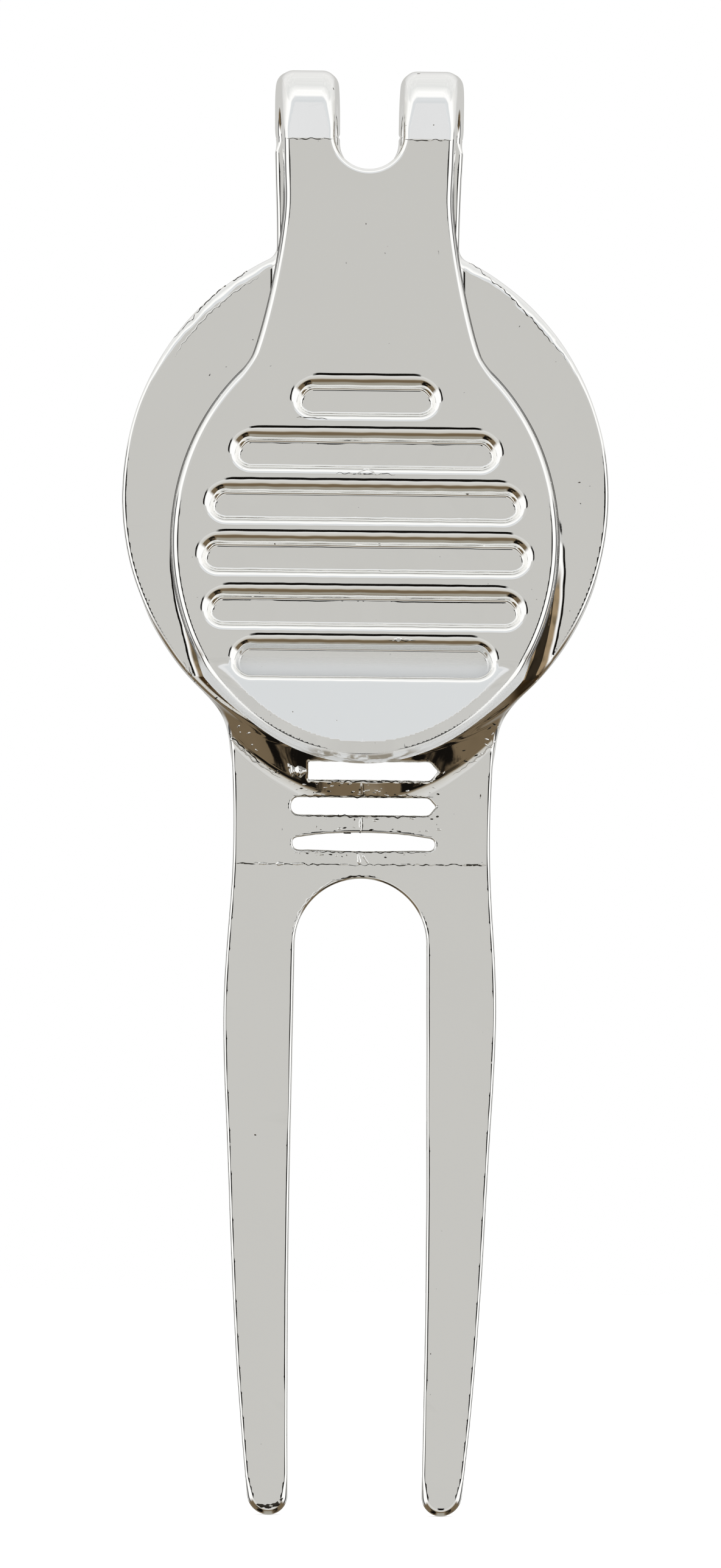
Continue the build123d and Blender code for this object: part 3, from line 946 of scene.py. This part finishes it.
def fork_painted_reflection(nodes, where, tint):
    """Painted brown reflection, of the dark below and of the pad's shadow, on the flanks of the
    oval that stands up behind the pad. No satin.
    """
    across, back, up = nodes.add("ShaderNodeSeparateXYZ", where).outputs
    # painted reflection and shadow: the oval's lower flanks turn brown, streaked darker
    painted_reflection_area = nodes.product(
        nodes.band(back, (PLATE_BACK_Y - 0.03) * MM, (PLATE_BACK_Y - 0.1) * MM),
        nodes.band(up, -25.5 * MM, -27.5 * MM),
        nodes.band(nodes.math("ABSOLUTE", across), 8 * MM, 9 * MM),
    )
    streaks = nodes.band(nodes.noise(where, 700.0, 3.0), 0.4, 0.6)
    brown = nodes.mix(streaks, (0.3, 0.22, 0.13, 1), (0.12, 0.09, 0.05, 1))
    return nodes.mix(painted_reflection_area, tint, brown), None


def plating(name, color, roughness, swell, specks, painted_reflections=None):
    """Bright plate on a casting: slow swells, fine orange peel, a few pits and a faint haze."""
    made, nodes, shader, where = material(name, color, 1.0, roughness)
    slow = nodes.noise(where, 130.0, 1.0)
    peel = nodes.noise(where, 1500.0, 2.0)
    pits = nodes.band(nodes.noise(where, 3600.0, 0.0), 0.13, 0.09)
    height = nodes.product(slow, swell)
    height = nodes.math("ADD", height, nodes.product(peel, 0.05 * swell))
    height = nodes.math("SUBTRACT", height, nodes.product(pits, specks))
    nodes.feed(shader["Normal"], nodes.bump(height, MM))
    haze = nodes.noise(where, 260.0, 3.0)
    tint = nodes.mix(haze, (*[c * 0.985 for c in color], 1), (*color, 1))
    tint = nodes.mix(pits, tint, (0.12, 0.1, 0.08, 1))
    rough = nodes.add("ShaderNodeMapRange", haze, 0.3, 0.75, 0.7 * roughness, 1.5 * roughness)
    rough = rough.outputs[0]
    # painted reflections and shade go into the tint here, satin into roughness and metal
    if painted_reflections:
        tint, satin = painted_reflections(nodes, where, tint)
        if satin is not None:
            rough = nodes.math("ADD", rough, nodes.product(satin, 0.4))
            nodes.feed(shader["Metallic"], nodes.math("MULTIPLY_ADD", satin, -0.75, 1.0))
    nodes.feed(shader["Base Color"], tint)
    nodes.feed(shader["Roughness"], rough)
    return made


def enamel_material(name, color):
    """Fired enamel: clouded colour, a faintly uneven gloss."""
    made, nodes, shader, where = material(name, color, 0.0, 0.16)
    cloud = nodes.noise(where, 420.0, 4.0, 0.6)
    deep = (*[c * 0.86 for c in color], 1)
    light = (*[min(1, c * 1.1) for c in color], 1)
    nodes.feed(shader["Base Color"], nodes.mix(cloud, deep, light))
    nodes.feed(shader["Normal"], nodes.bump(nodes.noise(where, 500.0, 2.0), 0.01 * MM))
    shader["Coat Weight"].default_value = 0.4
    return made


BRIGHT = (0.93, 0.925, 0.905)
chrome = plating("plating", BRIGHT, 0.035, 0.03, 0.01, fork_painted_reflection)
for piece in (fork, body_flash, clip_flash):
    piece.data.materials.append(chrome)
clip.data.materials.append(plating("clip_plating", BRIGHT, 0.035, 0.03, 0.01, clip_painted_reflections))

# painted shade: near-black lines standing in for shade and dark reflections, broken by pale flecks
painted_dark_lines, nodes, shader, where = material("painted_dark_lines", (0.05, 0.04, 0.03), 0.8, 0.4)
flecked_shade = nodes.band(nodes.noise(where, 2600.0, 2.0), 0.56, 0.62)
flecked_shade = nodes.mix(flecked_shade, (0.035, 0.03, 0.022, 1), (0.75, 0.73, 0.68, 1))
nodes.feed(shader["Base Color"], flecked_shade)
for piece in (body_shade_lines, clip_shade_lines):
    piece.data.materials.append(painted_dark_lines)

coin.data.materials.append(plating("coin_plating", (0.9, 0.89, 0.86), 0.06, 0.004, 0.004))
magnet.data.materials.append(plating("magnet_nickel", (0.74, 0.72, 0.68), 0.22, 0.003, 0.02))
sky.data.materials.append(enamel_material("enamel_white", (0.9, 0.93, 0.94)))
green.data.materials.append(enamel_material("enamel_green", (0.02, 0.26, 0.08)))
flag.data.materials.append(enamel_material("enamel_red", (0.66, 0.02, 0.02)))

amber, nodes, shader, where = material("glue", (0.75, 0.66, 0.42), 0.0, 0.3)
cloud = nodes.mix(nodes.noise(where, 900.0, 3.0), (0.62, 0.52, 0.3, 1), (0.85, 0.78, 0.56, 1))
nodes.feed(shader["Base Color"], cloud)
shader["Transmission Weight"].default_value = 0.3
glue.data.materials.append(amber)

epoxy, nodes, shader, where = material("dome_epoxy", (0.97, 0.98, 0.98), 0.0, 0.02)
dust = nodes.band(nodes.noise(where, 1600.0, 0.0), 0.2, 0.14)
dust = nodes.mix(dust, (0.97, 0.98, 0.98, 1), (0.8, 0.8, 0.78, 1))
nodes.feed(shader["Base Color"], dust)
nodes.feed(shader["Normal"], nodes.bump(nodes.noise(where, 160.0, 1.0), 0.02 * MM))
shader["Transmission Weight"].default_value = 1.0
shader["IOR"].default_value = 1.5
dome.data.materials.append(epoxy)
dome.visible_shadow = False  # the studio's light reaches the enamel through the clear dome

# ---------------------------------------------------------------- studio round the tool
# The tool is a mirror, so its look is the room's. Each way the room can be looked at is given by
# how far round it is from straight in front of the clip to straight behind the marker (away),
# and by how steeply it runs up or down from there, in degrees (slant).
world = bpy.data.worlds.new("studio")
bpy.context.scene.world = world
world.use_nodes = True
nodes = Nodes(world.node_tree)
toward = nodes.add("ShaderNodeTexCoord").outputs["Generated"]
across, back, up = nodes.add("ShaderNodeSeparateXYZ", toward).outputs
front = nodes.math("MULTIPLY", back, -1.0)
away = nodes.math("MULTIPLY", nodes.math("ARCCOSINE", front), 1 / math.pi)
aside = nodes.math("ABSOLUTE", across)
slant = nodes.math("MULTIPLY", nodes.math("ARCTAN2", up, aside), 180 / math.pi)

GREY = (0.607, 0.603, 0.585)
SILVER = (0.66, 0.66, 0.65)
STONE = (0.66, 0.65, 0.62)
FAR = (0.5, 0.49, 0.47)
COOL = (0.76, 0.785, 0.81)
PALE = (0.83, 0.84, 0.86)
WHITE = (1.1, 1.1, 1.1)
SHADE = (0.1, 0.1, 0.1)
BLACK = (0.006, 0.005, 0.004)
BROWN = (0.17, 0.125, 0.075)
DUSK = ((49, (0.6, 0.58, 0.54)), (52, (0.3, 0.25, 0.18)), (56, BROWN))


def walls(*stops):
    """Colours met going from straight in front of the clip (0 degrees) round to the back (180)."""
    return nodes.ramp(away, [(angle / 180, color) for angle, color in stops])


def turned(low, high):
    """0 at low and 1 at high, two angles from straight in front of the clip."""
    return nodes.band(away, low / 180, high / 180)


above = walls(
    (0, GREY), (25, GREY), (26.5, PALE), (30.5, PALE), (32.5, COOL), (46, COOL), (54, WHITE),
    (62, WHITE), (84, (0.84, 0.85, 0.85)), (130, (0.9, 0.9, 0.9)), (152, (0.75, 0.75, 0.75)),
    (166, GREY),
)
level = walls(
    (0, GREY), (38, (0.64, 0.64, 0.63)), (48, WHITE), (78, WHITE), (100, (0.9, 0.9, 0.89)),
    (130, (0.8, 0.8, 0.8)), (150, SILVER), (166, GREY),
)
beside = walls(
    (0, GREY), (8, GREY), (9.5, BLACK), (24, BLACK), (26, SILVER), (34, WHITE), (84, WHITE),
    (90, SHADE), (112, SHADE), (118, (0.7, 0.7, 0.7)), (150, SILVER), (166, GREY),
)
under = walls(
    (0, GREY), (8, GREY), (9.5, BLACK), (27, BLACK), (29, (0.8, 0.8, 0.79)), (42, STONE), *DUSK,
    (66, BROWN), (72, (0.36, 0.34, 0.29)), (130, (0.4, 0.38, 0.33)), (166, FAR),
)
beneath = walls(
    (0, GREY), (20, GREY), (28, (0.74, 0.74, 0.73)), (42, STONE), *DUSK, (120, BROWN),
    (150, (0.3, 0.28, 0.25)), (166, FAR),
)

# black patches on the brown below, to the left and the right
patched = nodes.product(nodes.band(aside, 0.2, 0.32), nodes.band(aside, 0.62, 0.5))
patches = nodes.math("MULTIPLY_ADD", patched, 0.2, nodes.noise(toward, 3.5, 4.0, 0.65))
dark = nodes.mix(nodes.band(patches, 0.6, 0.7), (*BROWN, 1), (*BLACK, 1))
dark = nodes.mix(turned(52, 57), beneath, dark)
beneath = nodes.mix(turned(125, 110), beneath, dark)

lit = nodes.mix(nodes.band(slant, 9.0, 13.0), beside, level)
lit = nodes.mix(nodes.band(slant, 30.0, 36.0), lit, above)
beneath = nodes.mix(nodes.band(slant, -74.0, -82.0), beneath, under)
lit = nodes.mix(nodes.band(slant, -22.0, -34.0), lit, beneath)
clouds = nodes.add("ShaderNodeMapRange", nodes.noise(toward, 9.0, 2.0), To_Min=0.9, To_Max=1.1)
room = nodes.add("ShaderNodeVectorMath", lit)
room.operation = "SCALE"
nodes.feed(room.inputs["Scale"], clouds.outputs[0])
camera_ray = nodes.add("ShaderNodeLightPath").outputs["Is Camera Ray"]
seen = nodes.mix(camera_ray, room.outputs[0], (1.0, 1.0, 1.0, 1))
nodes.feed(world.node_tree.nodes["Background"].inputs["Color"], seen)

bpy.ops.mesh.primitive_circle_add(vertices=128, radius=0.5, fill_type="NGON")
floor = bpy.context.object
floor.name = "studio_floor"
floor.location = (0, 0, (TIP_Z - 0.02) * MM)
paper, nodes, shader, where = material("studio_floor", (0.95, 0.95, 0.95), 0.0, 0.9)
shader["Emission Color"].default_value = (1, 1, 1, 1)
shader["Emission Strength"].default_value = 0.5
floor.data.materials.append(paper)
floor.visible_glossy = False
floor.visible_transmission = False
floor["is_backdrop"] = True

scene = bpy.context.scene
scene.view_settings.view_transform = "Standard"
scene.view_settings.look = "None"

# ---------------------------------------------------------------- camera
FRAME_HEIGHT = 90.1
FRAME_X = -0.1
FRAME_Z = -38.74
ROLL = math.radians(-0.627)
lens = bpy.data.cameras.new("camera")
lens.sensor_fit = "VERTICAL"
lens.sensor_height = 24
lens.lens = 300
lens.clip_end = 10
camera = bpy.data.objects.new("camera", lens)
scene.collection.objects.link(camera)
distance = FRAME_HEIGHT * lens.lens / lens.sensor_height
camera.location = (FRAME_X * MM, -distance * MM, FRAME_Z * MM)
camera.rotation_euler = (math.pi / 2, ROLL, 0)
scene.camera = camera

bounds = {"cad": cad_bounds, "visual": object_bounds()}
{k: [list(map(float, corner)) for corner in v] for k, v in bounds.items()}
